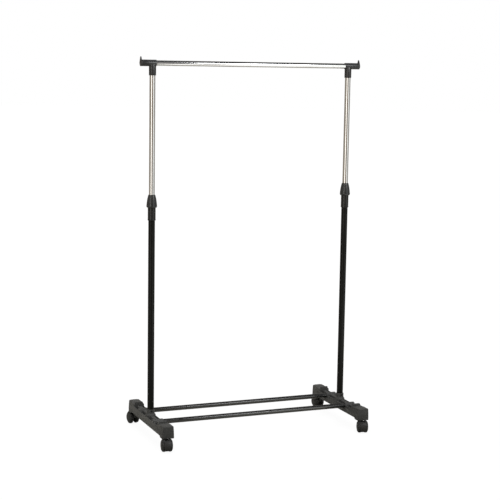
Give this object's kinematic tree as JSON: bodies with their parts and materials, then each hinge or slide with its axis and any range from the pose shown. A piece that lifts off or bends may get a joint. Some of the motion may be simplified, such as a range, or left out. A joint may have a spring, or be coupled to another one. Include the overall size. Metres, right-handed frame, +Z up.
{
  "type": "rolling clothes rack",
  "caption": "Free-standing rail for hanging clothes, with telescoping uprights, twist-lock collars, moulded feet and twin-wheel swivel casters.",
  "frame": {"origin": "on the floor, midway between the two feet and midway between the front and back casters", "axes": "+X along the hanging rail, +Y towards the back, +Z up"},
  "size_m": [0.907, 0.4856, 1.46],
  "materials": {
    "foot_plastic": "fine moulded texture, satin",
    "black_tube": "black powder coat, semi-gloss",
    "collar_plastic": "moulded, glossy",
    "chrome_tube": "polished plating",
    "caster_plastic": "moulded, satin",
    "wheel_plastic": "hard nylon, satin",
    "zinc": "zinc plated",
    "dark_steel": "black oxide",
    "nylon": "natural nylon"
  },
  "bodies": {
    "base": {"foot_left": "foot_plastic", "foot_right": "foot_plastic", "cross_bar_front": "black_tube", "cross_bar_back": "black_tube", "lower_tube_left": "black_tube", "lower_tube_right": "black_tube", "lock_sleeve_left": "collar_plastic", "lock_sleeve_right": "collar_plastic", "lock_collet_left": "nylon", "lock_collet_right": "nylon", "upright_screws": "dark_steel", "cross_bar_screws": "zinc", "caster_stem_front_left": "zinc", "caster_stem_front_right": "zinc", "caster_stem_back_left": "zinc", "caster_stem_back_right": "zinc"},
    "hanger_frame": {"upper_tube_left": "chrome_tube", "upper_tube_right": "chrome_tube", "guide_plug_left": "nylon", "guide_plug_right": "nylon", "rail_connector_left": "collar_plastic", "rail_connector_right": "collar_plastic", "end_stop_left": "collar_plastic", "end_stop_right": "collar_plastic", "hanging_rail": "chrome_tube"},
    "nut_left": {"lock_nut_left": "collar_plastic"},
    "nut_right": {"lock_nut_right": "collar_plastic"},
    "caster_front_left": {"caster_hood_front_left": "caster_plastic", "caster_axle_front_left": "zinc"},
    "wheel_outer_front_left_body": {"wheel_outer_front_left": "wheel_plastic"},
    "wheel_inner_front_left_body": {"wheel_inner_front_left": "wheel_plastic"},
    "caster_front_right": {"caster_hood_front_right": "caster_plastic", "caster_axle_front_right": "zinc"},
    "wheel_outer_front_right_body": {"wheel_outer_front_right": "wheel_plastic"},
    "wheel_inner_front_right_body": {"wheel_inner_front_right": "wheel_plastic"},
    "caster_back_left": {"caster_hood_back_left": "caster_plastic", "caster_axle_back_left": "zinc"},
    "wheel_outer_back_left_body": {"wheel_outer_back_left": "wheel_plastic"},
    "wheel_inner_back_left_body": {"wheel_inner_back_left": "wheel_plastic"},
    "caster_back_right": {"caster_hood_back_right": "caster_plastic", "caster_axle_back_right": "zinc"},
    "wheel_outer_back_right_body": {"wheel_outer_back_right": "wheel_plastic"},
    "wheel_inner_back_right_body": {"wheel_inner_back_right": "wheel_plastic"}
  },
  "joints": [
    {"name": "height_slide", "type": "slide", "parent": "base", "child": "hanger_frame", "axis": [0, 0, 1], "range_m": [-0.415, 0.2]},
    {"name": "lock_nut_left_turn", "type": "hinge", "parent": "base", "child": "nut_left", "pos_m": [-0.406, 0, 0.93], "axis": [0, 0, 1], "range_deg": [0, 120]},
    {"name": "lock_nut_right_turn", "type": "hinge", "parent": "base", "child": "nut_right", "pos_m": [0.406, 0, 0.93], "axis": [0, 0, 1], "range_deg": [0, 120]},
    {"name": "swivel_front_left", "type": "hinge", "parent": "base", "child": "caster_front_left", "pos_m": [-0.409, -0.196, 0.045], "axis": [0, 0, 1], "continuous": true},
    {"name": "roll_outer_front_left", "type": "hinge", "parent": "caster_front_left", "child": "wheel_outer_front_left_body", "pos_m": [-0.41119, -0.21387, 0.024], "axis": [0.9925, -0.1219, 0], "continuous": true},
    {"name": "roll_inner_front_left", "type": "hinge", "parent": "caster_front_left", "child": "wheel_inner_front_left_body", "pos_m": [-0.41119, -0.21387, 0.024], "axis": [0.9925, -0.1219, 0], "continuous": true},
    {"name": "swivel_front_right", "type": "hinge", "parent": "base", "child": "caster_front_right", "pos_m": [0.409, -0.196, 0.045], "axis": [0, 0, 1], "continuous": true},
    {"name": "roll_outer_front_right", "type": "hinge", "parent": "caster_front_right", "child": "wheel_outer_front_right_body", "pos_m": [0.40404, -0.2133, 0.024], "axis": [0.9613, -0.2756, 0], "continuous": true},
    {"name": "roll_inner_front_right", "type": "hinge", "parent": "caster_front_right", "child": "wheel_inner_front_right_body", "pos_m": [0.40404, -0.2133, 0.024], "axis": [0.9613, -0.2756, 0], "continuous": true},
    {"name": "swivel_back_left", "type": "hinge", "parent": "base", "child": "caster_back_left", "pos_m": [-0.409, 0.196, 0.045], "axis": [0, 0, 1], "continuous": true},
    {"name": "roll_outer_back_left", "type": "hinge", "parent": "caster_back_left", "child": "wheel_outer_back_left_body", "pos_m": [-0.41151, 0.21382, 0.024], "axis": [0.9903, 0.1392, 0], "continuous": true},
    {"name": "roll_inner_back_left", "type": "hinge", "parent": "caster_back_left", "child": "wheel_inner_back_left_body", "pos_m": [-0.41151, 0.21382, 0.024], "axis": [0.9903, 0.1392, 0], "continuous": true},
    {"name": "swivel_back_right", "type": "hinge", "parent": "base", "child": "caster_back_right", "pos_m": [0.409, 0.196, 0.045], "axis": [0, 0, 1], "continuous": true},
    {"name": "roll_outer_back_right", "type": "hinge", "parent": "caster_back_right", "child": "wheel_outer_back_right_body", "pos_m": [0.40743, 0.21393, 0.024], "axis": [0.9962, 0.0872, 0], "continuous": true},
    {"name": "roll_inner_back_right", "type": "hinge", "parent": "caster_back_right", "child": "wheel_inner_back_right_body", "pos_m": [0.40743, 0.21393, 0.024], "axis": [0.9962, 0.0872, 0], "continuous": true}
  ]
}
